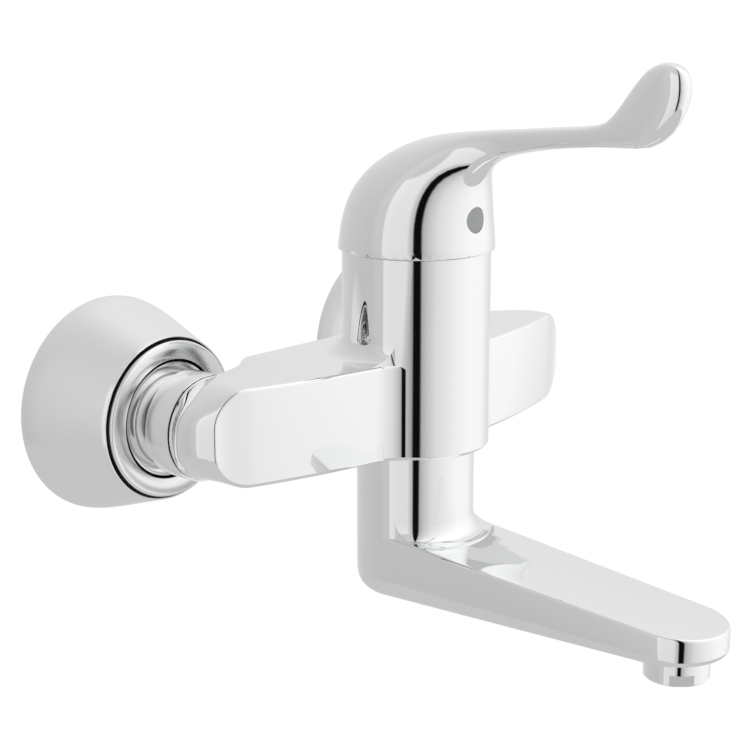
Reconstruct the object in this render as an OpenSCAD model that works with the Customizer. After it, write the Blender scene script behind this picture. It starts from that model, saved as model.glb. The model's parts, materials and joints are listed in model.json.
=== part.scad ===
/* [Wall connection] */
// Distance between the two wall inlets
inlet_centres = 150; // [140:1:165]
// Vertical offset between the two ends of each eccentric connector
eccentric_offset = 5; // [0:0.5:8]
// Radius of the escutcheon where it meets the wall
escutcheon_r = 39.8; // [39:0.1:44]
// How far the escutcheon stands out from the wall
escutcheon_h = 37.1; // [36:0.1:38]

/* [Body] */
// Distance from the wall to the axis of the body
body_reach = 85.6; // [82:0.1:100]
// Distance from an inlet's axis to the arm's end
arm_end = 19.5; // [18.6:0.1:22]
// Corner radius of the arm's end
arm_corner_r = 13; // [10:0.5:17]
// Outer radius of the upright body
body_r = 27; // [27:0.5:29]
// Height of the body's underside, below the inlets
body_bottom = -14.3; // [-16:0.1:-14.3]
// Height of the body's top rim
body_top = 58.1; // [58:0.1:60]
// Height of the side arms
arm_h = 35; // [35:0.5:38]
// Plan radius of the side arms' bowed front face
arm_bow_r = 261; // [220:1:400]
// Radius of the hollow fillet between the bowed face and the body
arm_fillet_r = 16; // [12:0.5:20]
// How far the middle of the bowed face stands in front of the body's axis
arm_bow_front = 11.5; // [10:0.5:13]

/* [Spout] */
// Distance from the body's axis to the aerator's axis
spout_reach = 117.2; // [90:1:200]
// Outer radius of the spout's neck
neck_r = 21.7; // [20:0.1:23]
// Width of the spout's arm
spout_w = 34.4; // [32:0.2:40]
// Height of the spout's flat top where the neck meets it
spout_top = -45.4; // [-60:0.2:-42]
// Height of the spout's side at the neck
spout_side_neck = 26; // [22:0.2:30]
// Height of the spout's side at the tip
spout_side_tip = 11.4; // [10:0.2:14]
// Radius of the aerator's visible rim
aerator_r = 11.2; // [11:0.1:11.8]

/* [Lever] */
// How far the lever's skirt stands out beyond the body
skirt_over = 1.5; // [1:0.1:2.5]
// Half the width of the lever's arm
lever_half_w = 4.7; // [4:0.1:8]
// Height of the set screw above the skirt's rim
set_screw_rise = 12.8; // [11.5:0.1:13.5]

/* [Motion] */
// Largest lift of the lever, in degrees
lift_max = 20; // [12:1:20]
// Swing of the spout to each side, in degrees
spout_swing = 75; // [40:5:80]

/* [Hidden] */
sides = ["left", "right"];
root_nodes = ["mixer_body", "spout_lock_screw", "cartridge_base", "port_seals", "cartridge_housing",
    "fixed_disc", "retaining_ring", "temperature_limiter"];
side_nodes = [for (part = ["inlet_nipple", "union_nut", "strainer_seal", "s_union", "escutcheon",
    "escutcheon_insert"]) for (side = sides) str(part, "_", side)];
moving_nodes = ["cartridge_turret", "spindle_pin", "moving_disc", "disc_carrier", "lever", "spindle",
    "set_screw", "screw_plug", "temperature_mark", "spout", "spout_slide_ring", "spout_o_rings",
    "aerator_housing", "aerator_insert", "aerator_seal"];

$fn = 72;
eps = 0.05;
face_gap = 0.3;
run_fit = 0.08;
edge_r = 1.5;

// Main stations, in the frame of the wall
inlet_x = inlet_centres / 2;
axis_y = -body_reach;
rim_z = body_top + face_gap;
skirt_r = body_r + skirt_over;
arm_back_y = axis_y + 31;
bar_back_y = axis_y + 36.5;
bar_half = inlet_x - 20.5;
arm_z = body_bottom + arm_h / 2;
arm_top = body_bottom + arm_h;
arm_half = inlet_x + arm_end;
bow_centre_y = axis_y - arm_bow_front + arm_bow_r;

// Water ways in the body
waterway_r = 5;
waterway_z = 9;
cartridge_r = body_r - 4.1;
housing_inner_r = cartridge_r - 2.9;
moving_disc_r = housing_inner_r - 4.7;
port_circle_r = moving_disc_r - 3.8;
port_r = 0.3 * port_circle_r;
pocket_r = port_circle_r - 3.7;
port_turn = 50;
port_x = port_circle_r * sin(port_turn);
inlet_port_y = axis_y - port_circle_r * cos(port_turn);
outlet_port_y = axis_y + 3;
port_places = [[-port_x, inlet_port_y], [port_x, inlet_port_y], [0, outlet_port_y]];
inlet_way_r = 8;
inlet_way_y = axis_y + 9;

// Union between each eccentric connector and the body
nut_r = 19.1;
nut_collar_r = 16.8;
nut_step_y = -escutcheon_h - 5.5;
nut_back_y = -escutcheon_h + 8;
nipple_r = 10.4;
nipple_flange_r = 14.4;
nipple_flange_y = arm_back_y + 3.4;
seal_y = nipple_flange_y + 2.6;
seal_t = 2;
nose_y = seal_y + seal_t;
nose_r = 13.2;
tail_r = 10.48;
tail_length = 15;
connector_bore_r = 7;

// Escutcheon
lip_r = 29.3;
bead_rise = 2.6;
lip_inner_r = 21.9;
shell_t = 1.4;
insert_bore_r = 20.3;

// Cartridge, from the floor of its seat upwards
seat_z = 20;
seat_r = cartridge_r + 0.1;
ring_r = body_r - 2.8;
base_top = seat_z + 5;
disc_t = 3;
fixed_disc_top = base_top + disc_t;
moving_disc_top = fixed_disc_top + disc_t;
carrier_floor = 1;
carrier_h = 6;
carrier_top = moving_disc_top + carrier_h;
turret_bottom = carrier_top + face_gap;
housing_top = seat_z + 26;
housing_plate = 3;
ring_top = housing_top + 7;
turret_neck_r = housing_inner_r - 8.08;
flange_r = housing_inner_r - 3;
turret_top = ring_top + 1;
pivot_z = rim_z - 10.4;
pin_r = 2;
spindle_w = 8;
shank_r = 2.5;
ball_r = 3.3;
socket_play = 0.4;
ball_z = moving_disc_top + carrier_floor + face_gap + ball_r;
disc_start = 0.3;

// Spout
socket_r = 15.05;
socket_top = 1.5;
spigot_r = socket_r - run_fit;
spigot_top = socket_top - 0.7;
spigot_bore_r = 10;
neck_top = body_bottom - face_gap;
o_ring_r = 0.95;
o_ring_z = [-2.6, -6.6];
lock_z = body_bottom + 3.4;
lock_tip_r = 1.9;
lock_groove_r = 12.9;
spout_bottom_neck = spout_top - spout_side_neck;
tip_y = axis_y - spout_reach;
tip_drop = 8.2;
tip_top = spout_top - tip_drop;
tip_bottom = tip_top - spout_side_tip;
neck_round = 9;
spout_edge_low = 2;
spout_edge_top = 1.2;
aerator_bottom = tip_bottom - 8.5;
aerator_bore_r = 10.3;
aerator_seat_z = tip_top - 4.4;

// Lever: each station holds the top line's y and z, the under line's y and z, the half width and
// the squareness of the section. The y values run from the body's axis, the z values from the rim.
dome = skirt_r / 28.5;
lever_stations = [
    [skirt_r, 0.0, -skirt_r, 0.0, skirt_r, 2.0],
    [27.2 * dome, 8.6, -28.1 * dome, 6.5, 27.9 * dome, 2.0],
    [24.8 * dome, 16.6, -27.7 * dome, 11.5, 27.0 * dome, 2.0],
    [20.4 * dome, 24.2, -27.7 * dome, 15.9, 25.4 * dome, 2.0],
    [13.0 * dome, 31.4, -27.9 * dome, 19.8, 22.6 * dome, 2.0],
    [  2.0, 37.6, -28.5, 23.4, 18.4, 2.0],
    [-10.5, 41.4, -29.8, 27.1, 13.0, 2.1],
    [-22.5, 43.3, -32.4, 30.9,  8.2, 2.3],
    [-34.0, 44.7, -37.2, 34.4, lever_half_w + 0.8, 2.6],
    [-46.0, 45.9, -45.6, 37.3, lever_half_w, 2.8],
    [-62.0, 47.7, -61.0, 40.3, lever_half_w, 2.8],
    [-77.0, 49.4, -77.5, 42.3, lever_half_w, 2.8],
    [-83.6, 51.6, -89.4, 43.0, lever_half_w, 2.8],
    [-88.6, 57.2, -99.6, 44.0, lever_half_w, 2.8],
    [-93.6, 63.8, -107.0, 48.9, lever_half_w, 2.7],
    [-98.2, 68.6, -111.3, 55.6, lever_half_w, 2.6],
    [-103.0, 70.9, -113.0, 61.6, lever_half_w - 0.5, 2.4],
    [-107.2, 71.0, -112.6, 66.2, lever_half_w - 1.9, 2.2],
    [-109.2, 70.3, -111.6, 68.4, lever_half_w - 3.3, 2.0]];
station_steps = 2;
ring_points = 48;
boss_r = 9;
boss_bottom = rim_z + 3.6;
screw_r = 2.5;
screw_z = rim_z + set_screw_rise;
plug_r = 4.6;
plug_depth = 4;
wall_r_at_plug = 27.6 * dome;
mark_y = axis_y - 6.5;
mark_x = 1.5;
mark_h = 2.9;

chrome = [0.80, 0.82, 0.84];
brass = [0.78, 0.66, 0.36];
steel = [0.62, 0.64, 0.66];
rubber = [0.10, 0.10, 0.11];
white_plastic = [0.90, 0.90, 0.88];
grey_plastic = [0.58, 0.60, 0.60];

// Turns a solid drawn along +Z so that it points to the front, along -Y
module to_front() { rotate([90, 0, 0]) children(); }

// A rod along the Y axis, from y0 to y1
module rod_y(r, y0, y1, x = 0, z = 0) {
    translate([x, max(y0, y1), z]) to_front() cylinder(r = r, h = abs(y1 - y0));
}

// A profile of radius and distance from the wall, turned about an inlet's axis
module turned_on_inlet(side, z = 0) {
    translate([side * inlet_x, 0, z]) to_front() rotate_extrude() children();
}

module at_axis(z = 0) { translate([0, axis_y, z]) children(); }

// A closed skin through rings of points, each ring with as many points as the next
module loft(rings) {
    n = len(rings[0]);
    last = len(rings) - 1;
    walls = [for (k = [0 : last - 1]) for (j = [0 : n - 1]) let (a = k * n, b = (j + 1) % n)
        each [[a + j, a + n + b, a + n + j], [a + j, a + b, a + n + b]]];
    start_cap = [for (j = [0 : n - 1]) n - 1 - j];
    end_cap = [for (j = [0 : n - 1]) last * n + j];
    polyhedron([for (ring = rings) for (p = ring) p], concat([start_cap], walls, [end_cap]));
}

// Cuts the outer lower edge of a round piece to a quarter round
module rounded_rim(r, edge) {
    rotate_extrude() difference() {
        translate([r - edge, -edge]) square([2 * edge, 2 * edge]);
        translate([r - edge, edge]) circle(r = edge);
    }
}

// Front outline of the arms in plan: the bow, then a hollow fillet that runs into the body
bow_to_axis = bow_centre_y - axis_y;
to_body = body_r - 0.1 + arm_fillet_r;
to_bow = arm_bow_r + arm_fillet_r;
fillet_up = (to_body * to_body - to_bow * to_bow + bow_to_axis * bow_to_axis) / (2 * bow_to_axis);
fillet_x = sqrt(to_body * to_body - fillet_up * fillet_up);
fillet_y = axis_y + fillet_up;
fillet_in_x = fillet_x * (to_body - arm_fillet_r) / to_body;
fillet_out_x = fillet_x * arm_bow_r / to_bow;
function front_y(x) = abs(x) >= fillet_out_x ? bow_centre_y - sqrt(arm_bow_r * arm_bow_r - x * x)
    : fillet_y + sqrt(arm_fillet_r * arm_fillet_r - pow(max(abs(x), fillet_in_x) - fillet_x, 2));

// How far a rounded edge falls back at a distance from the edge
function edge_fall(distance) = distance >= edge_r ? 0
    : edge_r - sqrt(edge_r * edge_r - pow(edge_r - distance, 2));

arm_corner_x = arm_half - arm_corner_r;
arm_up = arm_h / 2 - arm_corner_r;
function arm_half_h(x) = abs(x) <= arm_corner_x ? arm_h / 2
    : arm_up + sqrt(max(0, arm_corner_r * arm_corner_r - pow(abs(x) - arm_corner_x, 2)));

// Places of the sections, from the middle outwards
fillet_places = [for (i = [0 : 6]) fillet_in_x + (fillet_out_x - fillet_in_x) * i / 6];
bow_places = [for (i = [1 : 6]) fillet_out_x + (arm_corner_x - fillet_out_x) * i / 6];
corner_places = [for (turn = [10 : 10 : 60]) arm_corner_x + arm_corner_r * sin(turn)];
end_places = [for (share = [0.8, 0.5, 0.25, 0.1, 0]) arm_half - edge_r * share];
outward = concat([10], fillet_places, bow_places, corner_places, end_places);
arm_places = concat([for (i = [1 : len(outward)]) -outward[len(outward) - i]], [0], outward);

// One section of the arms' front: square at the back, with rounded front edges
arm_swell_y = axis_y + 11;
section_back_y = arm_swell_y + 0.5;
function arm_ring(x) = let (half = arm_half_h(x), front = front_y(x) + edge_fall(arm_half - abs(x)))
    concat([[x, section_back_y, arm_z - half]],
        [for (turn = [0 : 22.5 : 90]) [x, front + edge_r * (1 - sin(turn)),
            arm_z - half + edge_r * (1 - cos(turn))]],
        [for (turn = [90 : -22.5 : 0]) [x, front + edge_r * (1 - sin(turn)),
            arm_z + half - edge_r * (1 - cos(turn))]],
        [[x, section_back_y, arm_z + half]]);

// Each arm end swells from the round union seat to the bar's end
module arm_end(side) {
    hull() {
        rod_y(18.4, arm_back_y, arm_back_y - 1, side * inlet_x, 0, $fn = 64);
        for (z = [arm_z - arm_up, arm_z + arm_up])
            rod_y(arm_corner_r - 0.02, arm_swell_y, arm_swell_y - 1, side * arm_corner_x, z, $fn = 64);
        translate([side * 40, arm_swell_y - 1, body_bottom + 0.02]) cube([1, 1, arm_h - 0.04]);
    }
}

module arms() {
    loft([for (x = arm_places) arm_ring(x)]);
    translate([-bar_half, axis_y, body_bottom]) cube([2 * bar_half, bar_back_y - axis_y, arm_h]);
    for (side = [-1, 1]) arm_end(side);
}

// Hollow fillet that runs round the body where the arms' top meets it
module top_fillet(f = 7) {
    front = [for (x = arm_places) if (abs(x) < arm_corner_x) [x, front_y(x) + edge_r]];
    intersection() {
        at_axis(arm_top - 0.5) rotate_extrude() difference() {
            translate([body_r - 1, 0]) square([f + 1, f + 0.5]);
            translate([body_r + f, f + 0.5]) circle(r = f);
        }
        translate([0, 0, arm_top - 1]) linear_extrude(f + 2)
            polygon(concat(front, [[arm_corner_x, bar_back_y], [-arm_corner_x, bar_back_y]]));
    }
}

module inlet_way(side) {
    rod_y(nipple_r + 0.05, arm_back_y + eps, arm_back_y - 12, side * inlet_x, 0);
    rod_y(inlet_way_r, arm_back_y - 11, inlet_way_y - 3, side * inlet_x, 0);
    across = inlet_x - port_x;
    back = inlet_way_y + 2 - inlet_port_y;
    mirror([side < 0 ? 1 : 0, 0, 0]) translate([port_x, inlet_port_y, waterway_z])
        rotate([0, 90, atan2(back, across)]) translate([0, 0, -port_r])
        cylinder(r = waterway_r, h = norm([across, back]) + port_r);
}

module mixer_body() {
    color(chrome) difference() {
        union() {
            difference() {
                at_axis(body_bottom) cylinder(r = body_r, h = body_top - body_bottom);
                at_axis(body_bottom) rounded_rim(body_r, edge_r);
            }
            arms();
            top_fillet();
        }
        at_axis(seat_z) cylinder(r = seat_r, h = body_top);
        at_axis(housing_top - 1) cylinder(r = ring_r + 0.1, h = body_top);
        at_axis(body_bottom - 1) cylinder(r = socket_r, h = socket_top - body_bottom + 1);
        for (side = [-1, 1]) inlet_way(side);
        for (side = [-1, 1]) translate([side * port_x, inlet_port_y, waterway_z])
            cylinder(r = port_r, h = seat_z - waterway_z + 1);
        translate([0, outlet_port_y, 0]) cylinder(r = port_r, h = seat_z + 1);
        rod_y(2.5, bar_back_y + eps, axis_y + socket_r - 1, 0, lock_z);
    }
}

module spout_lock_screw() {
    color(steel) difference() {
        union() {
            rod_y(2.45, bar_back_y - 1, axis_y + socket_r + 0.5, 0, lock_z);
            rod_y(lock_tip_r, axis_y + socket_r + 1, axis_y + lock_groove_r + 0.4, 0, lock_z);
        }
        translate([0, bar_back_y - 0.9, lock_z]) to_front() cylinder(r = 1.4, h = 3, $fn = 6);
    }
}

// Pieces of each inlet; side is -1 on the left and 1 on the right
module inlet_nipple(side) {
    color(brass) turned_on_inlet(side) difference() {
        union() {
            translate([0, -arm_back_y]) square([nipple_r, 11]);
            translate([0, -nipple_flange_y]) square([11.8, nipple_flange_y - arm_back_y]);
            translate([0, -seal_y]) square([nipple_flange_r, seal_y - nipple_flange_y]);
        }
        translate([0, -seal_y - 1]) square([connector_bore_r + 0.5, 30]);
    }
}

module union_nut(side) {
    color(chrome) turned_on_inlet(side) difference() {
        polygon([[0, -nut_back_y], [nut_collar_r - 0.6, -nut_back_y], [nut_collar_r, -nut_back_y + 0.6],
            [nut_collar_r, -nut_step_y], [nut_r - 0.5, -nut_step_y], [nut_r, -nut_step_y + 0.5],
            [nut_r, -arm_back_y - face_gap], [0, -arm_back_y - face_gap]]);
        translate([0, -nut_back_y - 1]) square([nose_r + 0.1, nut_back_y - nose_y + 1.5]);
        translate([0, -nose_y - 1]) square([nipple_flange_r + 0.2, nose_y - nipple_flange_y + 1]);
        translate([0, -nipple_flange_y - 1]) square([12, 30]);
    }
}

module strainer_seal(side) {
    hole_ring = [[0, 1], [2.4, 6], [4.8, 12]];
    translate([side * inlet_x, nose_y, 0]) to_front() {
        color(rubber) difference() {
            cylinder(r = 13, h = seal_t);
            translate([0, 0, 0.6]) cylinder(r = 6.6, h = seal_t);
            for (row = hole_ring) for (i = [1 : row[1]])
                rotate(i * 360 / row[1]) translate([row[0], 0, -1]) cylinder(r = 0.7, h = 4, $fn = 24);
        }
    }
}

module s_union(side) {
    flange_y = -8;
    color(chrome) difference() {
        union() {
            rod_y(tail_r, tail_length, flange_y, side * inlet_x, -eccentric_offset);
            rod_y(15.5, -3, flange_y - 6, side * inlet_x, -eccentric_offset / 2);
            rod_y(nose_r, flange_y - 4, nose_y, side * inlet_x, 0);
        }
        rod_y(connector_bore_r, tail_length + 1, flange_y - 3, side * inlet_x, -eccentric_offset);
        rod_y(connector_bore_r, flange_y - 1, nose_y - 1, side * inlet_x, 0);
    }
}

// Cone, shadow groove and bead of the escutcheon, as radius and distance from the wall
module escutcheon_section() {
    groove_w = 0.7;
    groove_h = 4;
    lip_h = escutcheon_h - bead_rise;
    lip_bottom = lip_h - groove_h - 1.5;
    bead_outer_r = lip_r - groove_w;
    bead_mid_r = (bead_outer_r + lip_inner_r) / 2;
    bead_half = (bead_outer_r - lip_inner_r) / 2;
    crown = [for (turn = [0 : 10 : 180]) [bead_mid_r + bead_half * cos(turn),
        lip_h - 0.6 + (bead_rise + 0.6) * pow(sin(turn), 0.75)]];
    difference() {
        polygon([[escutcheon_r, 0], [escutcheon_r, 1.2], [lip_r + 0.7, lip_h], [lip_inner_r, lip_h],
            [lip_inner_r, lip_bottom], [lip_r, lip_bottom], [escutcheon_r - shell_t - 0.6, 0]]);
        translate([bead_outer_r, lip_h - groove_h]) square([groove_w, groove_h + 1]);
    }
    polygon(concat([[lip_inner_r, lip_h - 1], [bead_outer_r, lip_h - 1]], crown));
}

module escutcheon(side) {
    color(chrome) turned_on_inlet(side) escutcheon_section();
}

// Bright ring inside the lip: its back is a press fit, its front leaves a dark line round it
module escutcheon_insert(side) {
    front = escutcheon_h - 2.2;
    web = escutcheon_h - 12;
    color(chrome) turned_on_inlet(side) {
        translate([insert_bore_r, web]) square([lip_inner_r - 0.5 - insert_bore_r, front - web]);
        translate([nose_r + 0.05, web]) square([lip_inner_r - nose_r - 0.1, 4]);
    }
}

module port_holes(z0, z1, r = port_r) {
    for (place = port_places) translate([place[0], place[1], z0]) cylinder(r = r, h = z1 - z0);
}

module cartridge_base() {
    color(white_plastic) difference() {
        at_axis(seat_z) cylinder(r = cartridge_r, h = base_top - seat_z);
        port_holes(seat_z - 1, base_top + 1);
        port_holes(seat_z - 1, seat_z + 1.9, port_r + 2.5);
    }
}

module port_seals() {
    color(rubber) for (place = port_places) translate([place[0], place[1], seat_z + o_ring_r])
        rotate_extrude() translate([port_r + 1.45, 0]) circle(r = o_ring_r, $fn = 24);
}

module cartridge_housing() {
    color(white_plastic) at_axis() rotate_extrude() polygon([[housing_inner_r, base_top],
        [cartridge_r, base_top], [cartridge_r, housing_top], [turret_neck_r + run_fit, housing_top],
        [turret_neck_r + run_fit, housing_top - housing_plate],
        [housing_inner_r, housing_top - housing_plate]]);
}

module fixed_disc() {
    color([0.94, 0.93, 0.90]) difference() {
        at_axis(base_top) cylinder(r = housing_inner_r - 0.1, h = disc_t);
        port_holes(base_top - 1, fixed_disc_top + 1, port_r - 0.3);
    }
}

module moving_disc() {
    color([0.94, 0.93, 0.90]) difference() {
        at_axis(fixed_disc_top) translate([0, disc_start, 0]) cylinder(r = moving_disc_r, h = disc_t);
        at_axis(fixed_disc_top - 1) translate([0, disc_start, 0]) cylinder(r = pocket_r, h = 2.6);
    }
}

module disc_carrier() {
    color(grey_plastic) difference() {
        at_axis(moving_disc_top) translate([0, disc_start, 0])
            cylinder(r = moving_disc_r - 0.5, h = carrier_h);
        at_axis(moving_disc_top + carrier_floor) cylinder(r = ball_r + socket_play, h = carrier_h);
    }
}

module retaining_ring() {
    color(brass) difference() {
        at_axis(housing_top) cylinder(r = ring_r, h = ring_top - housing_top);
        at_axis(housing_top - 1) cylinder(r = flange_r, h = ring_top - housing_top + 2);
        for (turn = [0 : 60 : 300]) at_axis(ring_top - 3) rotate(turn) translate([flange_r - 1, -2, 0])
            cube([5, 4, 4]);
    }
}

module temperature_limiter() {
    color([0.75, 0.20, 0.18]) at_axis(housing_top) difference() {
        cylinder(r = flange_r - 0.4, h = 5);
        translate([0, 0, -1]) cylinder(r = turret_neck_r + 0.5, h = 8);
        for (turn = [0 : 20 : 340]) rotate(turn) translate([flange_r - 1.6, -0.8, -1])
            cube([3, 1.6, 8]);
    }
}

module cartridge_turret() {
    lean = tan(lift_max);
    below = pivot_z - turret_bottom;
    slot_half = ball_r + 0.5;
    color(white_plastic) difference() {
        at_axis() rotate_extrude() polygon([[0, turret_bottom], [flange_r, turret_bottom],
            [flange_r, housing_top - housing_plate - 0.1], [turret_neck_r, housing_top - housing_plate - 0.1],
            [turret_neck_r, turret_top], [0, turret_top]]);
        at_axis(turret_bottom - 1) translate([-slot_half, -below * lean - slot_half, 0])
            cube([2 * slot_half, below * lean + 2 * slot_half, 8]);
        at_axis(housing_top - housing_plate - 1)
            translate([-spindle_w / 2 - 0.2, -spindle_w / 2 - 2.2, 0])
            cube([spindle_w + 0.4, spindle_w + 4.8, 14]);
        at_axis(pivot_z) rotate([0, 90, 0]) cylinder(r = pin_r, h = 40, center = true);
    }
}

module spindle_pin() {
    color(steel) at_axis(pivot_z) rotate([0, 90, 0])
        cylinder(r = pin_r, h = 2 * turret_neck_r - 0.4, center = true);
}

module spindle() {
    shoulder = housing_top - 2.4;
    color(brass) difference() {
        union() {
            at_axis(shoulder) translate([-spindle_w / 2, -spindle_w / 2, 0])
                cube([spindle_w, spindle_w, rim_z + 19 - shoulder]);
            at_axis(ball_z) cylinder(r = shank_r, h = shoulder - ball_z + 1);
            at_axis(ball_z) sphere(r = ball_r);
        }
        at_axis(pivot_z) rotate([0, 90, 0]) cylinder(r = pin_r + 0.05, h = 40, center = true);
    }
}

function blend(a, b, c, d, t) = 0.5 * (2 * b + (c - a) * t + (2 * a - 5 * b + 4 * c - d) * t * t
    + (3 * b - a - 3 * c + d) * t * t * t);
last_station = len(lever_stations) - 1;
function station(i) = lever_stations[min(max(i, 0), last_station)];
function swept_station(k) = let (i = floor(k / station_steps), t = k / station_steps - i)
    blend(station(i - 1), station(i), station(i + 1), station(i + 2), t);
function rounded(v, squareness) = sign(v) * pow(abs(v), 2 / squareness);

// One closed section of the lever, across the line from its top line to its under line
function lever_ring(s) = [for (j = [0 : ring_points - 1])
    let (turn = 360 * j / ring_points, up = rounded(cos(turn), s[5]), across = rounded(sin(turn), s[5]))
    [s[4] * across, axis_y + (s[0] + s[2]) / 2 + up * (s[0] - s[2]) / 2,
        rim_z + (s[1] + s[3]) / 2 + up * (s[1] - s[3]) / 2]];

// The lever's cast form: a dome that bends forwards into the narrow arm and its turned-up paddle
module lever_form() {
    loft([for (k = [0 : last_station * station_steps]) lever_ring(swept_station(k))]);
}

module lever_cavity() {
    at_axis(rim_z) rotate_extrude() polygon([[0, -1], [skirt_r - 0.9, -1], [skirt_r - 0.9, 0.2],
        [skirt_r - 1.1, 1.2], [26 * dome, 5.1], [23.5 * dome, 10.6], [19.6 * dome, 16.6],
        [14.4 * dome, 22.4], [8 * dome, 26.6], [0, 28]]);
}

module lever() {
    color(chrome) difference() {
        union() {
            difference() {
                lever_form();
                lever_cavity();
            }
            at_axis(boss_bottom) cylinder(r = boss_r, h = 29);
            rod_y(6.2, axis_y, axis_y - 26.2, 0, screw_z);
        }
        at_axis(rim_z) rounded_rim(skirt_r, 0.6);
        at_axis(boss_bottom - 1) translate([-spindle_w / 2 - 0.05, -spindle_w / 2 - 0.05, 0])
            cube([spindle_w + 0.1, spindle_w + 0.1, 17]);
        rod_y(screw_r + 0.05, axis_y, axis_y - 30, 0, screw_z);
        rod_y(plug_r + 0.05, axis_y - wall_r_at_plug + plug_depth, axis_y - 32, 0, screw_z);
        mark_place() cylinder(r = 1.05, h = 5);
    }
}

module set_screw() {
    front = axis_y - spindle_w / 2 - 0.1;
    color(steel) difference() {
        rod_y(screw_r, front, front - 10, 0, screw_z);
        translate([0, front - 7, screw_z]) to_front() cylinder(r = 1.45, h = 4, $fn = 6);
    }
}

module screw_plug() {
    color(grey_plastic) intersection() {
        rod_y(plug_r, axis_y - wall_r_at_plug + plug_depth, axis_y - 32, 0, screw_z);
        at_axis(screw_z - 10) cylinder(r = wall_r_at_plug, h = 20);
    }
}

module mark_place() { translate([mark_x, mark_y, rim_z + 37.4]) children(); }

module temperature_mark() {
    color([0.10, 0.35, 0.75]) mark_place() cylinder(r = 1, h = mark_h);
}

// Outline of the spout's heel and arm in plan: round the neck, then a taper to the round tip. Each
// place holds the direction that the outline faces and the share of the way from the neck to the tip.
tip_r = spout_w / 2;
taper_turn = asin((neck_r - tip_r) / spout_reach);
line_steps = 8;
tip_steps = 24;
heel_steps = 36;
spout_places = concat(
    [for (i = [0 : line_steps]) [180 + taper_turn, i / line_steps]],
    [for (i = [1 : tip_steps - 1]) [180 + taper_turn + (180 - 2 * taper_turn) * i / tip_steps, 1]],
    [for (i = [0 : line_steps]) [-taper_turn, 1 - i / line_steps]],
    [for (i = [1 : heel_steps - 1]) [-taper_turn + (180 + 2 * taper_turn) * i / heel_steps, 0]]);

function spout_point(place, inset) = let (r = neck_r - 0.05 + (tip_r - neck_r + 0.05) * place[1] - inset)
    [r * cos(place[0]), axis_y - spout_reach * place[1] + r * sin(place[0])];
function along(y) = (axis_y - y) / spout_reach;
function spout_top_z(y) = spout_top - tip_drop * along(y);
function spout_bottom_z(y) = spout_bottom_neck + (tip_bottom - spout_bottom_neck) * along(y);
function heel_r(share) = neck_round + (spout_edge_low - neck_round) * min(share, 1);

// Rings of the spout's arm round its underside and its top, with rounded edges
function low_ring(turn) = [for (place = spout_places) let (r = heel_r(place[1]),
    p = spout_point(place, r * (1 - sin(turn)))) [p[0], p[1], spout_bottom_z(p[1]) + r * (1 - cos(turn))]];
function high_ring(turn) = [for (place = spout_places)
    let (p = spout_point(place, spout_edge_top * (1 - cos(turn))))
    [p[0], p[1], spout_top_z(p[1]) - spout_edge_top * (1 - sin(turn))]];

module spout_arm() {
    loft(concat([for (turn = [90 : -30 : 0]) high_ring(turn)], [for (turn = [90 : -15 : 0]) low_ring(turn)]));
}

// Hollow fillet between the neck and the flat top, kept inside the arm's plan
module neck_fillet(f = 7) {
    intersection() {
        at_axis(spout_top - 3) rotate_extrude() difference() {
            translate([neck_r - 1, 0]) square([f + 1, f + 1.6]);
            translate([neck_r + f, f + 1.6]) circle(r = f);
        }
        translate([0, 0, spout_top - 8]) linear_extrude(20)
            polygon([for (place = spout_places) spout_point(place, spout_edge_top)]);
    }
}

module spout() {
    neck_bottom = spout_bottom_neck + neck_round + 1;
    channel_h = 6;
    channel_z = tip_top - 2.6 - channel_h;
    groove_half = spout_swing + asin(lock_tip_r / lock_groove_r) + 1;
    color(chrome) difference() {
        union() {
            at_axis(neck_bottom) cylinder(r = neck_r, h = neck_top - neck_bottom);
            spout_arm();
            neck_fillet();
            at_axis(neck_top - 2) cylinder(r = spigot_r, h = spigot_top - neck_top + 2);
        }
        at_axis(channel_z) cylinder(r = spigot_bore_r, h = 80);
        translate([-8, tip_y, channel_z]) cube([16, spout_reach, channel_h]);
        translate([0, tip_y, tip_bottom - 3])
            cylinder(r = aerator_bore_r, h = aerator_seat_z - tip_bottom + 3);
        translate([0, tip_y, tip_bottom - 3]) cylinder(r = aerator_r + face_gap, h = 3);
        translate([0, tip_y, tip_bottom - 3]) cylinder(r = 8, h = channel_z + channel_h - tip_bottom + 3);
        for (z = o_ring_z) at_axis(z) rotate_extrude() translate([socket_r - 2 * o_ring_r - 0.05, -1.3])
            square([4, 2.6]);
        at_axis(neck_top - 1.2) difference() {
            cylinder(r = 19, h = 3);
            translate([0, 0, -1]) cylinder(r = spigot_r, h = 5);
        }
        at_axis(lock_z - lock_tip_r - 0.3) rotate([0, 0, 90 - groove_half])
            rotate_extrude(angle = 2 * groove_half) translate([lock_groove_r, 0])
            square([4, 2 * lock_tip_r + 0.6]);
    }
}

module spout_slide_ring() {
    color(white_plastic) at_axis(neck_top - 1.2) difference() {
        cylinder(r = 18.9, h = 1.2 + face_gap);
        translate([0, 0, -1]) cylinder(r = spigot_r + 0.1, h = 5);
    }
}

module spout_o_rings() {
    color(rubber) for (z = o_ring_z) at_axis(z) rotate_extrude()
        translate([socket_r - o_ring_r - 0.05, 0]) circle(r = o_ring_r, $fn = 24);
}

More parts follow.
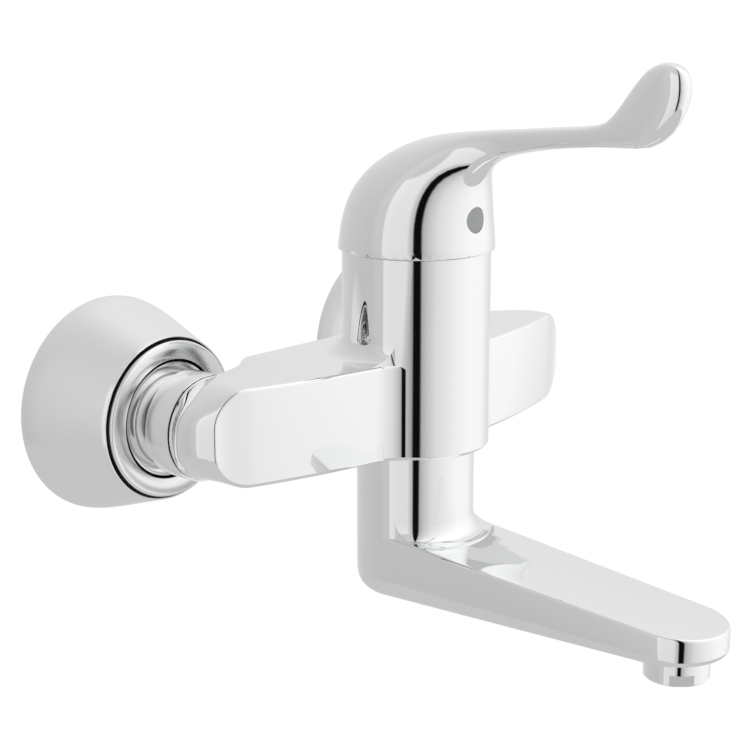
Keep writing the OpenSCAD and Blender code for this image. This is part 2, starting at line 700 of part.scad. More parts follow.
module aerator_housing() {
    color(chrome) translate([0, tip_y, 0]) rotate(-47) difference() {
        rotate_extrude() polygon([[aerator_r - 2.2, aerator_bottom], [aerator_r - 0.5, aerator_bottom],
            [aerator_r, aerator_bottom + 0.5], [aerator_r, tip_bottom], [aerator_bore_r - 0.1, tip_bottom],
            [aerator_bore_r - 0.1, aerator_seat_z - 1.6], [9.2, aerator_seat_z - 1.6],
            [9.2, aerator_bottom + 1.6], [aerator_r - 2.2, aerator_bottom + 1.6]]);
        for (side = [-1, 1]) translate([-15, side * (aerator_r + 4.2) - 5, aerator_bottom - 1])
            cube([30, 10, 5]);
    }
}

module aerator_insert() {
    color(white_plastic) translate([0, tip_y, aerator_bottom + 1.6]) difference() {
        cylinder(r = 9.1, h = aerator_seat_z - 1.7 - aerator_bottom - 1.6);
        for (row = [[0, 1], [2.5, 6], [5, 12], [7.4, 18]]) for (i = [1 : row[1]])
            rotate(i * 360 / row[1]) translate([row[0], 0, -1]) cylinder(r = 0.8, h = 30, $fn = 16);
    }
}

module aerator_seal() {
    color(rubber) translate([0, tip_y, aerator_seat_z - 1.6]) difference() {
        cylinder(r = aerator_bore_r - 0.1, h = 1.6);
        translate([0, 0, -1]) cylinder(r = 8, h = 4);
    }
}

mixer_body();
spout_lock_screw();
cartridge_base();
port_seals();
cartridge_housing();
fixed_disc();
retaining_ring();
temperature_limiter();
inlet_nipple(-1);  // inlet_nipple_left
inlet_nipple(1);  // inlet_nipple_right
union_nut(-1);  // union_nut_left
union_nut(1);  // union_nut_right
strainer_seal(-1);  // strainer_seal_left
strainer_seal(1);  // strainer_seal_right
s_union(-1);  // s_union_left
s_union(1);  // s_union_right
escutcheon(-1);  // escutcheon_left
escutcheon(1);  // escutcheon_right
escutcheon_insert(-1);  // escutcheon_insert_left
escutcheon_insert(1);  // escutcheon_insert_right
cartridge_turret();
spindle_pin();
moving_disc();
disc_carrier();
lever();
spindle();
set_screw();
screw_plug();
temperature_mark();
spout();
spout_slide_ring();
spout_o_rings();
aerator_housing();
aerator_insert();
aerator_seal();
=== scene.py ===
import json
import math

import bmesh
import bpy
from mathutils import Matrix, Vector


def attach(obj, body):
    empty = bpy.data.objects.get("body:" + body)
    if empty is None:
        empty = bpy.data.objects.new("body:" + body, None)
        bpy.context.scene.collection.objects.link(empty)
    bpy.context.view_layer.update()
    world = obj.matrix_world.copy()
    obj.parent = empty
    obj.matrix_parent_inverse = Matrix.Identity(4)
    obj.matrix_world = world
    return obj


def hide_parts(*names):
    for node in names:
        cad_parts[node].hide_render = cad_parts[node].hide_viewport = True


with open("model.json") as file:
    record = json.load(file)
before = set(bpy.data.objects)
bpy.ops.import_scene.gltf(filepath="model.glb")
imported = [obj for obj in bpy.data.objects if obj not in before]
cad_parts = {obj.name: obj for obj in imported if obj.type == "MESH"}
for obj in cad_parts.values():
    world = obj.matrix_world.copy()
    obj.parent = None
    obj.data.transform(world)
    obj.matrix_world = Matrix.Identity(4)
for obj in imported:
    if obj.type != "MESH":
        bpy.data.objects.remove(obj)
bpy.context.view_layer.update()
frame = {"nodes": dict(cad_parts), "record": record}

NODES = frame["nodes"]

# The camera stands to the left of the tap and a little above it
CAMERA_PLACE = (-0.4901, -0.5144, 0.1718)
CAMERA_AIM = (0.7157, 0.6559, -0.2401)
CAMERA_LENS = 87.52
SENSOR_WIDTH = 36.0

# Unit directions of the studio: towards the gap between the light walls, and to its right
STUDIO_GAP = (-0.7372, -0.6756, 0.0)
STUDIO_RIGHT = (0.6756, -0.7372, 0.0)

# Brightness of the studio walls, by the angle in degrees from the gap, to the right when positive
STUDIO_WALLS = [
    (-180, 0.79), (-150, 0.67), (-120, 0.61), (-75, 0.57), (-64, 0.62), (-52, 0.61), (-38, 0.57),
    (-7.5, 0.56), (-5.5, 0.004), (5.0, 0.004), (7.5, 0.45), (15, 0.59), (30, 0.78), (60, 0.94),
    (90, 1.04), (120, 1.03), (150, 0.80), (180, 0.79)]
# The light panel left of the gap: its sides and its top in degrees, and what it adds to the wall
PANEL_LEFT = -53.0
PANEL_RIGHT = -9.0
PANEL_TOP = 40.0
PANEL_LIGHT = 0.24
# Degrees over which the panel's edges fade
LEFT_FADE, RIGHT_FADE, TOP_FADE = 2.0, 8.0, 3.0
# How much brighter the walls get per degree of height, and the height that STUDIO_WALLS gives
WALL_RISE = 0.0018
WALL_HEIGHT = -10.0
DAYLIGHT_LEVEL = 0.85
FLOOR_DROP = 0.9
FLOOR_RADIUS = 1.6
FLOOR_COLOUR, FLOOR_DRIFT = 0.66, 0.005
# Share of the white that the camera sees in the floor which mirrors in the metal too
FLOOR_SHINE = 0.1


def add(tree, kind, **settings):
    """A node of this kind, with its settings and its input values."""
    node = tree.nodes.new(kind)
    inputs = settings.pop("inputs", {})
    for key, value in settings.items():
        setattr(node, key, value)
    for key, value in inputs.items():
        node.inputs[key].default_value = value
    return node


def join(tree, source, out, target, into):
    tree.links.new(source.outputs[out], target.inputs[into])


# Shared surface effects

def effect_group(name, inputs, outputs):
    """An empty shader group with named sockets, and its two end nodes."""
    tree = bpy.data.node_groups.new(name, "ShaderNodeTree")
    for label, kind, value in inputs:
        socket = tree.interface.new_socket(name=label, in_out="INPUT", socket_type=kind)
        socket.default_value = value
    for label, kind in outputs:
        tree.interface.new_socket(name=label, in_out="OUTPUT", socket_type=kind)
    return tree, tree.nodes.new("NodeGroupInput"), tree.nodes.new("NodeGroupOutput")


def make_polish():
    """Buffed metal: slow changes of gloss, and the faint ripple under a plated surface."""
    tree, start, end = effect_group(
        "polish",
        [("Scale", "NodeSocketFloat", 50.0), ("Smoothest", "NodeSocketFloat", 0.02),
         ("Roughest", "NodeSocketFloat", 0.05)],
        [("Roughness", "NodeSocketFloat"), ("Ripple", "NodeSocketFloat")])
    place = add(tree, "ShaderNodeTexCoord")
    cloud = add(tree, "ShaderNodeTexNoise", inputs={"Detail": 3.0})
    spread = add(tree, "ShaderNodeMapRange", inputs={"From Min": 0.3, "From Max": 0.7})
    join(tree, place, "Object", cloud, "Vector")
    join(tree, start, "Scale", cloud, "Scale")
    join(tree, cloud, "Fac", spread, "Value")
    join(tree, start, "Smoothest", spread, "To Min")
    join(tree, start, "Roughest", spread, "To Max")
    join(tree, spread, "Result", end, "Roughness")
    join(tree, cloud, "Fac", end, "Ripple")
    return tree


def make_tone():
    """A colour that drifts a little between two tones."""
    tree, start, end = effect_group(
        "tone",
        [("Darker", "NodeSocketColor", (0.8, 0.8, 0.8, 1.0)),
         ("Lighter", "NodeSocketColor", (0.9, 0.9, 0.9, 1.0)), ("Scale", "NodeSocketFloat", 30.0)],
        [("Colour", "NodeSocketColor")])
    place = add(tree, "ShaderNodeTexCoord")
    cloud = add(tree, "ShaderNodeTexNoise", inputs={"Detail": 2.0})
    mix = add(tree, "ShaderNodeMix", data_type="RGBA")
    join(tree, place, "Object", cloud, "Vector")
    join(tree, start, "Scale", cloud, "Scale")
    tree.links.new(cloud.outputs["Fac"], mix.inputs[0])
    tree.links.new(start.outputs["Darker"], mix.inputs[6])
    tree.links.new(start.outputs["Lighter"], mix.inputs[7])
    tree.links.new(mix.outputs[2], end.inputs["Colour"])
    return tree


def make_grain():
    """Fine grain, drawn out along an axis for turned metal or even for mouldings."""
    tree, start, end = effect_group(
        "grain",
        [("Spacing", "NodeSocketVector", (900.0, 900.0, 900.0)),
         ("Smoothest", "NodeSocketFloat", 0.3), ("Roughest", "NodeSocketFloat", 0.45)],
        [("Roughness", "NodeSocketFloat"), ("Height", "NodeSocketFloat")])
    place = add(tree, "ShaderNodeTexCoord")
    stretch = add(tree, "ShaderNodeVectorMath", operation="MULTIPLY")
    speckle = add(tree, "ShaderNodeTexNoise", inputs={"Scale": 1.0, "Detail": 4.0})
    spread = add(tree, "ShaderNodeMapRange", inputs={"From Min": 0.3, "From Max": 0.7})
    tree.links.new(place.outputs["Object"], stretch.inputs[0])
    tree.links.new(start.outputs["Spacing"], stretch.inputs[1])
    join(tree, stretch, "Vector", speckle, "Vector")
    join(tree, speckle, "Fac", spread, "Value")
    join(tree, start, "Smoothest", spread, "To Min")
    join(tree, start, "Roughest", spread, "To Max")
    join(tree, spread, "Result", end, "Roughness")
    join(tree, speckle, "Fac", end, "Height")
    return tree


POLISH = make_polish()
TONE = make_tone()
GRAIN = make_grain()


# Finishes

def bare_finish(name, metallic):
    finish = bpy.data.materials.new(name)
    finish.use_nodes = True
    tree = finish.node_tree
    shader = tree.nodes["Principled BSDF"]
    shader.inputs["Metallic"].default_value = metallic
    return finish, tree, shader


def tint(tree, shader, darker, lighter, scale):
    tone = add(tree, "ShaderNodeGroup", node_tree=TONE, inputs={
        "Darker": (*darker, 1.0), "Lighter": (*lighter, 1.0), "Scale": scale})
    join(tree, tone, "Colour", shader, "Base Color")


def relief(tree, source, out, shader, depth):
    """Turns a height that changes over the surface into a slight relief, depth in metres."""
    bump = add(tree, "ShaderNodeBump", inputs={"Strength": 0.5, "Distance": depth})
    join(tree, source, out, bump, "Height")
    join(tree, bump, "Normal", shader, "Normal")


def polished_chrome(name, darker, lighter, smoothest=0.015, roughest=0.04, ripple=0.000004):
    finish, tree, shader = bare_finish(name, 1.0)
    tint(tree, shader, darker, lighter, scale=35.0)
    polish = add(tree, "ShaderNodeGroup", node_tree=POLISH, inputs={
        "Scale": 60.0, "Smoothest": smoothest, "Roughest": roughest})
    join(tree, polish, "Roughness", shader, "Roughness")
    relief(tree, polish, "Ripple", shader, ripple)
    return finish


def turned_metal(name, darker, lighter, spacing, smoothest, roughest):
    finish, tree, shader = bare_finish(name, 1.0)
    tint(tree, shader, darker, lighter, scale=120.0)
    grain = add(tree, "ShaderNodeGroup", node_tree=GRAIN, inputs={
        "Spacing": spacing, "Smoothest": smoothest, "Roughest": roughest})
    join(tree, grain, "Roughness", shader, "Roughness")
    relief(tree, grain, "Height", shader, depth=0.00002)
    return finish


def moulded(name, darker, lighter, smoothest, roughest, coat=0.0):
    finish, tree, shader = bare_finish(name, 0.0)
    tint(tree, shader, darker, lighter, scale=200.0)
    grain = add(tree, "ShaderNodeGroup", node_tree=GRAIN, inputs={
        "Spacing": (1500.0, 1500.0, 1500.0), "Smoothest": smoothest, "Roughest": roughest})
    join(tree, grain, "Roughness", shader, "Roughness")
    relief(tree, grain, "Height", shader, depth=0.00001)
    shader.inputs["Coat Weight"].default_value = coat
    return finish


# Chrome: its two tones, and the smoothest and roughest of each softer polish
BRIGHT = ((0.885, 0.890, 0.895), (0.905, 0.910, 0.915))
SATIN, SOFTEST, HIDDEN = (0.15, 0.19), (0.17, 0.21), (0.05, 0.10)
FINISHES = {
    "body_chrome": polished_chrome("body_chrome", *BRIGHT),
    "lever_chrome": polished_chrome("lever_chrome", *BRIGHT),
    "spout_chrome": polished_chrome("spout_chrome", *BRIGHT),
    "escutcheon_chrome": polished_chrome("escutcheon_chrome", *BRIGHT, *SOFTEST),
    "insert_chrome": polished_chrome("insert_chrome", *BRIGHT, *SATIN),
    "nut_chrome": polished_chrome("nut_chrome", *BRIGHT, *SATIN),
    "union_chrome": polished_chrome("union_chrome", *BRIGHT, *HIDDEN),
    "aerator_chrome": polished_chrome("aerator_chrome", *BRIGHT),
    # Painted shade: a near-black metal finish for the rows of turned pieces that lie in shadow, in
    # grooves and gaps
    "painted_shade_metal": turned_metal("painted_shade_metal", (0.05, 0.05, 0.052), (0.09, 0.09, 0.093),
                                 (300.0, 300.0, 300.0), 0.45, 0.6),
    "brass": turned_metal("brass", (0.60, 0.46, 0.20), (0.74, 0.60, 0.30),
                          (60.0, 2500.0, 60.0), 0.22, 0.38),
    "steel": turned_metal("steel", (0.50, 0.51, 0.52), (0.66, 0.67, 0.68),
                          (60.0, 2500.0, 60.0), 0.25, 0.40),
    "rubber": moulded("rubber", (0.018, 0.018, 0.019), (0.034, 0.034, 0.036), 0.55, 0.75),
    "white_plastic": moulded("white_plastic", (0.74, 0.74, 0.71), (0.84, 0.84, 0.82), 0.35, 0.5),
    "grey_plastic": moulded("grey_plastic", (0.20, 0.21, 0.22), (0.28, 0.29, 0.30), 0.4, 0.55),
    "plug_grey": moulded("plug_grey", (0.37, 0.38, 0.38), (0.41, 0.42, 0.42), 0.4, 0.55),
    "red_plastic": moulded("red_plastic", (0.40, 0.03, 0.025), (0.55, 0.05, 0.04), 0.35, 0.5),
    "blue_enamel": moulded("blue_enamel", (0.02, 0.13, 0.42), (0.03, 0.18, 0.55), 0.12, 0.2, 0.6),
    "ceramic_discs": moulded("ceramic_discs", (0.80, 0.78, 0.74), (0.88, 0.86, 0.82), 0.08, 0.15),
}


def dress_nodes():
    """Gives each CAD node the finish of its slot in the record."""
    for part in frame["record"]["subparts"]:
        node = NODES[part["node"]]
        node.data.materials.clear()
        node.data.materials.append(FINISHES[part["material_slot"]])


# Body casting, in millimetres from the wall's middle point: the forms of the arms' ends
INLET_X = 75.0
SEAT_Y, SEAT_R = -54.6, 18.4
BAR_BACK_Y = -49.1
ARM_LOW, ARM_HIGH, ARM_END = -14.3, 20.7, 94.5
CORNER_R = 13.0
BOW_R, BOW_CENTRE_Y = 261.0, 163.9
FRONT_EDGE = 1.5
# Each arm is made anew from this section of the solid outwards, and its back comes forward to the
# union's seat
JOIN_X = 48.917
BACK_BEND = (50.0, 64.0)
# The arm's end swells out this far, and curves in again over the last stretch before its front edge
END_SWELL = 4.1
CURVE_R, CURVE_DEPTH = 17.7, 11.4
EDGE_LEAN = CURVE_DEPTH / math.sqrt(CURVE_R ** 2 - CURVE_DEPTH ** 2)
# How fast the swelling fades towards the arm's top and underside
SWELL_FADE = 7.0
# Share of the arm's depth over which the round seat widens into the arm, and how fast at first
SEAT_REACH, SEAT_FLARE = 0.78, 1.5
# Steps along the arm, round its corners, up its end, through its depth and round its front edge
ARM_STEPS, CORNER_STEPS, END_STEPS, DEPTH_STEPS, EDGE_STEPS = 14, 14, 4, 22, 4
# Distances in metres within which points count as one, and as lying on the cut
SAME_POINT, SAME_AT_JOIN, ON_THE_CUT = 0.000002, 0.00001, 0.000001
# Edges sharper than this many degrees stay sharp
CREASE_ANGLE = 32.0


def smooth_step(start, end, value):
    """0 up to the start, 1 from the end on, and an even curve between them."""
    share = min(1.0, max(0.0, (value - start) / (end - start)))
    return share * share * (3 - 2 * share)


def new_piece(name, mesh, form):
    """Puts a finished form into the scene as a piece."""
    form.to_mesh(mesh)
    form.free()
    piece = bpy.data.objects.new(name, mesh)
    bpy.context.scene.collection.objects.link(piece)
    return piece


def even_shares(count):
    """Shares from 0 to 1, in even steps."""
    return [i / count for i in range(count + 1)]


def bow_y(x):
    """The arms' front face, which bows in plan."""
    return BOW_CENTRE_Y - math.sqrt(BOW_R ** 2 - x * x)


def front_outline():
    """The arm's outline seen from the front, from its underside round the end to its top: each
    point's x and z, and the x of the direction that it faces."""
    centre_x, low_z = ARM_END - CORNER_R, ARM_LOW + CORNER_R
    high_z = ARM_HIGH - CORNER_R
    underside = [(JOIN_X + (centre_x - JOIN_X) * share, ARM_LOW, 0.0)
                 for share in even_shares(ARM_STEPS)[:-1]]
    turns = [math.radians(90 * share) for share in even_shares(CORNER_STEPS)]
    corner = [(centre_x + CORNER_R * math.sin(turn), low_z - CORNER_R * math.cos(turn), math.sin(turn))
              for turn in turns]
    end = [(ARM_END, low_z + (high_z - low_z) * share, 1.0) for share in even_shares(END_STEPS)[1:-1]]
    lower = underside + corner
    upper = [(x, ARM_LOW + ARM_HIGH - z, facing) for x, z, facing in reversed(lower)]
    return lower + end + upper


def seat_outline(front):
    """The outline at the arm's back: round at the inlet, for the union, and running into the bar."""
    centre_x = ARM_END - CORNER_R
    round_part = [i for i, point in enumerate(front) if point[0] >= centre_x]
    first, last = round_part[0], round_part[-1]
    outline = []
    for i, (x, z, facing) in enumerate(front):
        if first <= i <= last:
            turn = math.pi * (i - first) / (last - first)
            outline.append((INLET_X + SEAT_R * math.sin(turn), -SEAT_R * math.cos(turn)))
        else:
            ease = smooth_step(JOIN_X, centre_x, x)
            top = SEAT_R if z > 0 else -SEAT_R
            outline.append((x + (INLET_X - centre_x) * ease, z + (top - z) * ease))
    return outline


def end_offset(depth, whole):
    """How far the arm's end stands out, at a depth behind its front edge."""
    if depth < CURVE_DEPTH:
        return END_SWELL - CURVE_R + math.sqrt(CURVE_R ** 2 - (CURVE_DEPTH - depth) ** 2)
    return END_SWELL * math.cos(math.pi / 2 * (depth - CURVE_DEPTH) / (whole - CURVE_DEPTH))


def arm_rings():
    """Rings of points from the seat to the front edge, and round that edge to the front face."""
    front = front_outline()
    seat = seat_outline(front)
    rings = [[] for share in even_shares(DEPTH_STEPS + EDGE_STEPS)]
    for (x, z, facing), (seat_x, seat_z) in zip(front, seat):
        fade = facing ** SWELL_FADE
        lean = math.atan(EDGE_LEAN * fade)
        climb = math.sqrt(1 - facing * facing) * (1 if z > (ARM_LOW + ARM_HIGH) / 2 else -1)
        edge_y = bow_y(x) + FRONT_EDGE * (1 - math.sin(lean))
        back_y = BAR_BACK_Y + (SEAT_Y - BAR_BACK_Y) * smooth_step(*BACK_BEND, x)
        places = []
        for share in even_shares(DEPTH_STEPS):
            y = back_y + (edge_y - back_y) * share
            widen = 1 - (1 - min(1.0, share / SEAT_REACH)) ** SEAT_FLARE
            out = end_offset(y - edge_y, back_y - edge_y) * fade
            places.append((seat_x + (x - seat_x) * widen + facing * out, y,
                           seat_z + (z - seat_z) * widen + climb * out))
        for share in even_shares(EDGE_STEPS)[1:]:
            turn = lean + (math.pi / 2 - lean) * share
            inset = FRONT_EDGE * (math.cos(lean) - math.cos(turn))
            places.append((x - facing * inset, bow_y(x) + FRONT_EDGE * (1 - math.sin(turn)),
                           z - climb * inset))
        for ring, place in zip(rings, places):
            ring.append(place)
    return rings


def add_arm_end(form, side):
    """Adds one arm's end to a mesh in the making; side is -1 on the left and 1 on the right."""
    rows = [[form.verts.new((side * x / 1000, y / 1000, z / 1000)) for x, y, z in ring]
            for ring in arm_rings()]
    faces = []
    for near, far in zip(rows, rows[1:]):
        for i in range(len(near) - 1):
            faces.append(form.faces.new((near[i], near[i + 1], far[i + 1], far[i])))
    for row in (rows[0], rows[-1]):
        count = len(row)
        for i in range((count - 1) // 2):
            a, b, c, d = row[i], row[i + 1], row[count - 2 - i], row[count - 1 - i]
            corners = [a, b, c, d] if b is not c else [a, b, d]
            faces.append(form.faces.new(corners))
    bmesh.ops.recalc_face_normals(form, faces=faces)


def make_body_casting():
    """The body with its swelling arm ends: the node's middle, and an end on each side."""
    node = NODES["mixer_body"]
    mesh = bpy.data.meshes.new("body_casting")
    form = bmesh.new()
    form.from_mesh(node.data)
    bmesh.ops.remove_doubles(form, verts=form.verts, dist=SAME_POINT)
    for side in (-1, 1):
        bmesh.ops.bisect_plane(form, geom=form.verts[:] + form.edges[:] + form.faces[:],
                               dist=ON_THE_CUT, plane_co=(side * JOIN_X / 1000, 0, 0),
                               plane_no=(side, 0, 0), clear_outer=True)
    for side in (-1, 1):
        add_arm_end(form, side)
    bmesh.ops.remove_doubles(form, verts=form.verts, dist=SAME_AT_JOIN)
    casting = new_piece("body_casting", mesh, form)
    mesh.materials.append(FINISHES["body_chrome"])
    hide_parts("mixer_body")
    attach(casting, "root")
    return casting


# Escutcheon's outside with its shadow groove, as radius and distance from the wall in millimetres
SHELL_PROFILE = [
    (37.8, 0.0), (39.7, 0.0), (39.77, 0.9), (39.65, 2.2), (39.2, 4.6), (38.4, 7.6), (37.3, 11.2),
    (35.9, 15.6), (34.4, 20.2), (32.9, 24.8), (31.5, 29.2), (30.4, 32.6), (29.95, 34.0),
    (29.7, 34.4), (29.45, 34.45), (29.3, 34.25), (29.2, 31.2), (28.5, 31.2), (28.45, 33.0)]
# The lip's inner wall, beside the ring, and the shell's inside
LIP_WALL = (21.68, 35.8)
SHELL_INSIDE = [(21.6, 28.9), (27.2, 28.9), (28.9, 26.5)]
# The bead: a tight outer edge, and a wide crown that falls inwards
BEAD_EDGE_R, BEAD_EDGE_PLACE = 0.9, (27.52, 35.56)
CROWN_R, CROWN_PLACE = 18.0, (26.08, 18.55)
CROWN_START, CROWN_END = -5.0, 13.7
# The bright ring inside the lip, from its outer edge to the nut's collar
RING_PROFILE = [
    (21.6, 28.6), (21.6, 31.0), (20.8, 31.0), (20.8, 35.3), (20.65, 35.5), (19.9, 35.6), (18.9, 35.55),
    (17.9, 35.45), (17.1, 35.35), (16.9, 35.2), (16.9, 28.6)]
# The ring's rows that lie in the dark line round it, painted dark as painted shade
RING_PAINTED_SHADE_ROWS = range(3)
TURN_STEPS = 160


def turned_piece(name, side, profile, finish, painted_shade_rows=()):
    """A closed form turned about an inlet's axis, with painted shade: the rows that lie in shadow are
    painted dark.
    """
    mesh = bpy.data.meshes.new(name)
    form = bmesh.new()
    rings = [[form.verts.new((
        (side * INLET_X + r * math.cos(math.tau * share)) / 1000, -distance / 1000,
        r * math.sin(math.tau * share) / 1000)) for share in even_shares(TURN_STEPS)[:-1]]
        for r, distance in profile]
    for row, (near, far) in enumerate(zip(rings, rings[1:] + rings[:1])):
        for i in range(TURN_STEPS):
            j = (i + 1) % TURN_STEPS
            face = form.faces.new((near[i], near[j], far[j], far[i]))
            # Rows in shadow take slot 1, the dark finish that paints their shade
            face.material_index = 1 if row in painted_shade_rows else 0
    bmesh.ops.recalc_face_normals(form, faces=form.faces[:])
    piece = new_piece(name, mesh, form)
    mesh.materials.append(FINISHES[finish])
    # Slot 1: painted shade for the rows in shadow
    mesh.materials.append(FINISHES["painted_shade_metal"])
    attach(piece, "root")
    return piece


def arc(place, r, start, end, count):
    """Points on an arc, as radius and distance from the wall; angles in degrees, inwards positive."""
    turns = [math.radians(start + (end - start) * share) for share in even_shares(count)]
    return [(place[0] - r * math.sin(turn), place[1] + r * math.cos(turn)) for turn in turns]


def make_escutcheon(side, skin):
    """The shell with its shadow groove and wide bead, and the bright ring inside the lip, with painted
    shade: the groove, the lip's inner wall and the ring's outer rows are painted dark.
    """
    label = "left" if side < 0 else "right"
    bead = arc(BEAD_EDGE_PLACE, BEAD_EDGE_R, -90, CROWN_START, count=8)
    bead += arc(CROWN_PLACE, CROWN_R, CROWN_START, CROWN_END, count=16)[1:]
    profile = SHELL_PROFILE + bead + [LIP_WALL] + SHELL_INSIDE
    # The groove's rows, the lip's inner wall and the shoulder inside it are painted dark: painted
    # shade
    groove = range(len(SHELL_PROFILE) - 3, len(SHELL_PROFILE) - 1)
    lip = len(SHELL_PROFILE) + len(bead)
    shell = turned_piece("escutcheon_shell_" + label, side, profile, "escutcheon_chrome",
                         [*groove, lip, lip + 1])
    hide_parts("escutcheon_" + label)
    # The ring's outer rows, in the gap beside the lip, are painted dark as painted shade
    ring = turned_piece("lip_ring_" + label, side, RING_PROFILE, "insert_chrome",
                        RING_PAINTED_SHADE_ROWS)
    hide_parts("escutcheon_insert_" + label)
    for piece in (shell, ring):
        piece.modifiers.new("one_skin", "NODES").node_group = skin


def make_smoothing(name, sharp_from):
    """Joins a cast form's facets and shades them as one skin, keeping edges sharper than this."""
    tree = bpy.data.node_groups.new(name, "GeometryNodeTree")
    tree.interface.new_socket(name="Mesh", in_out="INPUT", socket_type="NodeSocketGeometry")
    tree.interface.new_socket(name="Mesh", in_out="OUTPUT", socket_type="NodeSocketGeometry")
    start, end = tree.nodes.new("NodeGroupInput"), tree.nodes.new("NodeGroupOutput")
    bare = add(tree, "GeometryNodeRemoveAttribute", inputs={"Name": "custom_normal"})
    weld = add(tree, "GeometryNodeMergeByDistance", inputs={"Distance": SAME_POINT})
    skin = add(tree, "GeometryNodeSetShadeSmooth", domain="FACE", inputs={"Shade Smooth": True})
    angle = add(tree, "GeometryNodeInputMeshEdgeAngle")
    sharp = add(tree, "FunctionNodeCompare", data_type="FLOAT", operation="GREATER_THAN")
    sharp.inputs[1].default_value = math.radians(sharp_from)
    edges = add(tree, "GeometryNodeSetShadeSmooth", domain="EDGE", inputs={"Shade Smooth": False})
    join(tree, start, "Mesh", bare, "Geometry")
    join(tree, bare, "Geometry", weld, "Geometry")
    join(tree, weld, "Geometry", skin, "Geometry")
    join(tree, skin, "Geometry", edges, "Geometry")
    join(tree, angle, "Unsigned Angle", sharp, 0)
    join(tree, sharp, "Result", edges, "Selection")
    join(tree, edges, "Geometry", end, "Mesh")
    return tree


def make_cast_forms():
    """The cast pieces, each shaded as one skin."""
    skin = make_smoothing("one_skin", CREASE_ANGLE)
    for piece in (NODES["lever"], NODES["spout"], make_body_casting()):
        piece.modifiers.new("one_skin", "NODES").node_group = skin
    for side in (-1, 1):
        make_escutcheon(side, skin)


def angle_of(tree, source, out):
    """Radians to degrees."""
    degrees = add(tree, "ShaderNodeMath", operation="DEGREES")
    tree.links.new(source.outputs[out], degrees.inputs[0])
    return degrees


def ramp_between(tree, source, dark_at, light_at):
    """A soft step from 0 to 1 as the value goes from the one place to the other."""
    step = add(tree, "ShaderNodeMapRange", interpolation_type="SMOOTHSTEP",
               inputs={"From Min": dark_at, "From Max": light_at})
    tree.links.new(source.outputs[0], step.inputs["Value"])
    return step


def times(tree, first, second):
    product = add(tree, "ShaderNodeMath", operation="MULTIPLY")
    tree.links.new(first.outputs[0], product.inputs[0])
    tree.links.new(second.outputs[0], product.inputs[1])
    return product


def wall_brightness(tree, azimuth):
    """The walls' level, from STUDIO_WALLS."""
    share = add(tree, "ShaderNodeMapRange", inputs={"From Min": -180.0, "From Max": 180.0})
    tree.links.new(azimuth.outputs[0], share.inputs["Value"])
    walls = add(tree, "ShaderNodeValToRGB")
    ramp = walls.color_ramp
    while len(ramp.elements) < len(STUDIO_WALLS):
        ramp.elements.new(0.5)
    for stop, (angle, level) in zip(ramp.elements, STUDIO_WALLS):
        stop.position = (angle + 180) / 360
    for stop, (angle, level) in zip(ramp.elements, STUDIO_WALLS):
        stop.color = (level, level, level, 1.0)
    join(tree, share, "Result", walls, "Fac")
    return walls


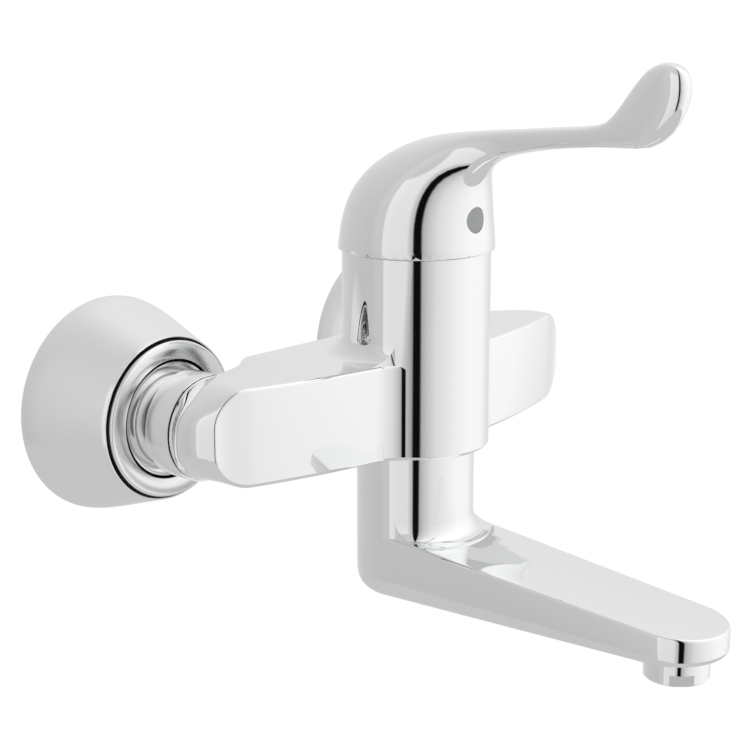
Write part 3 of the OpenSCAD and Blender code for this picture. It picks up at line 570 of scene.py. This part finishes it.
def build_studio():
    """The studio: white to the camera, and light walls with a panel and a dark gap in reflections."""
    world = bpy.data.worlds.new("studio")
    bpy.context.scene.world = world
    world.use_nodes = True
    tree = world.node_tree
    tree.nodes.clear()
    way = add(tree, "ShaderNodeTexCoord")
    ahead = add(tree, "ShaderNodeVectorMath", operation="DOT_PRODUCT")
    aside = add(tree, "ShaderNodeVectorMath", operation="DOT_PRODUCT")
    ahead.inputs[1].default_value = STUDIO_GAP
    aside.inputs[1].default_value = STUDIO_RIGHT
    tree.links.new(way.outputs["Generated"], ahead.inputs[0])
    tree.links.new(way.outputs["Generated"], aside.inputs[0])
    turn = add(tree, "ShaderNodeMath", operation="ARCTAN2")
    tree.links.new(aside.outputs["Value"], turn.inputs[0])
    tree.links.new(ahead.outputs["Value"], turn.inputs[1])
    azimuth = angle_of(tree, turn, "Value")
    axes = add(tree, "ShaderNodeSeparateXYZ")
    join(tree, way, "Generated", axes, "Vector")
    rise = add(tree, "ShaderNodeMath", operation="ARCSINE")
    tree.links.new(axes.outputs["Z"], rise.inputs[0])
    height = angle_of(tree, rise, "Value")

    panel = times(tree, ramp_between(tree, azimuth, PANEL_LEFT - LEFT_FADE, PANEL_LEFT + LEFT_FADE),
                  ramp_between(tree, azimuth, PANEL_RIGHT, PANEL_RIGHT - RIGHT_FADE))
    panel = times(tree, panel, ramp_between(tree, height, PANEL_TOP + TOP_FADE, PANEL_TOP - TOP_FADE))
    panel_light = add(tree, "ShaderNodeMath", operation="MULTIPLY_ADD")
    tree.links.new(panel.outputs[0], panel_light.inputs[0])
    panel_light.inputs[1].default_value = PANEL_LIGHT
    tree.links.new(wall_brightness(tree, azimuth).outputs["Color"], panel_light.inputs[2])
    higher = add(tree, "ShaderNodeMath", operation="MULTIPLY_ADD")
    tree.links.new(height.outputs[0], higher.inputs[0])
    higher.inputs[1].default_value = WALL_RISE
    higher.inputs[2].default_value = 1.0 - WALL_HEIGHT * WALL_RISE
    level = times(tree, panel_light, higher)

    mirrored = add(tree, "ShaderNodeBackground")
    join(tree, level, "Value", mirrored, "Strength")
    plain = add(tree, "ShaderNodeBackground", inputs={
        "Color": (1.0, 1.0, 1.0, 1.0), "Strength": DAYLIGHT_LEVEL})
    white = add(tree, "ShaderNodeBackground", inputs={
        "Color": (1.0, 1.0, 1.0, 1.0), "Strength": 1.0})
    mirrored.inputs["Color"].default_value = (1.0, 1.0, 1.0, 1.0)
    path = add(tree, "ShaderNodeLightPath")
    by_gloss = add(tree, "ShaderNodeMixShader")
    by_camera = add(tree, "ShaderNodeMixShader")
    glossy = add(tree, "ShaderNodeMath", operation="MAXIMUM")
    tree.links.new(path.outputs["Is Glossy Ray"], glossy.inputs[0])
    tree.links.new(path.outputs["Is Transmission Ray"], glossy.inputs[1])
    tree.links.new(glossy.outputs[0], by_gloss.inputs[0])
    tree.links.new(plain.outputs[0], by_gloss.inputs[1])
    tree.links.new(mirrored.outputs[0], by_gloss.inputs[2])
    tree.links.new(path.outputs["Is Camera Ray"], by_camera.inputs[0])
    tree.links.new(by_gloss.outputs[0], by_camera.inputs[1])
    tree.links.new(white.outputs[0], by_camera.inputs[2])
    end = add(tree, "ShaderNodeOutputWorld")
    tree.links.new(by_camera.outputs[0], end.inputs["Surface"])


def build_floor():
    """A pale round floor, as far below the tap as a room's floor is."""
    rim = 96
    points = [(FLOOR_RADIUS * math.cos(math.tau * i / rim),
               FLOOR_RADIUS * math.sin(math.tau * i / rim), -FLOOR_DROP) for i in range(rim)]
    mesh = bpy.data.meshes.new("floor")
    mesh.from_pydata(points, [], [list(range(rim))])
    floor = bpy.data.objects.new("floor", mesh)
    bpy.context.scene.collection.objects.link(floor)
    finish, tree, shader = bare_finish("pale_floor", 0.0)
    tint(tree, shader, (FLOOR_COLOUR - FLOOR_DRIFT,) * 3, (FLOOR_COLOUR + FLOOR_DRIFT,) * 3, scale=3.0)
    shader.inputs["Roughness"].default_value = 1.0
    shader.inputs["Specular IOR Level"].default_value = 0.0
    path = add(tree, "ShaderNodeLightPath")
    seen = add(tree, "ShaderNodeMath", operation="MAXIMUM")
    lift = add(tree, "ShaderNodeMath", operation="MULTIPLY")
    lift.inputs[1].default_value = 1.0 - FLOOR_COLOUR * DAYLIGHT_LEVEL
    shader.inputs["Emission Color"].default_value = (1.0, 1.0, 1.0, 1.0)
    mirrored = add(tree, "ShaderNodeMath", operation="MAXIMUM")
    tree.links.new(path.outputs["Is Glossy Ray"], mirrored.inputs[0])
    tree.links.new(path.outputs["Is Transmission Ray"], mirrored.inputs[1])
    shine = add(tree, "ShaderNodeMath", operation="MULTIPLY")
    shine.inputs[1].default_value = FLOOR_SHINE
    tree.links.new(mirrored.outputs[0], shine.inputs[0])
    tree.links.new(path.outputs["Is Camera Ray"], seen.inputs[0])
    tree.links.new(shine.outputs[0], seen.inputs[1])
    tree.links.new(seen.outputs[0], lift.inputs[0])
    tree.links.new(lift.outputs[0], shader.inputs["Emission Strength"])
    mesh.materials.append(finish)


def build_camera():
    data = bpy.data.cameras.new("camera")
    data.lens = CAMERA_LENS
    data.sensor_fit = "HORIZONTAL"
    data.sensor_width = SENSOR_WIDTH
    data.clip_start = 0.01
    camera = bpy.data.objects.new("camera", data)
    bpy.context.scene.collection.objects.link(camera)
    camera.location = CAMERA_PLACE
    camera.rotation_euler = Vector(CAMERA_AIM).to_track_quat("-Z", "Y").to_euler()
    bpy.context.scene.camera = camera


dress_nodes()
make_cast_forms()
build_studio()
build_floor()
build_camera()
bpy.context.scene.view_settings.view_transform = "Standard"
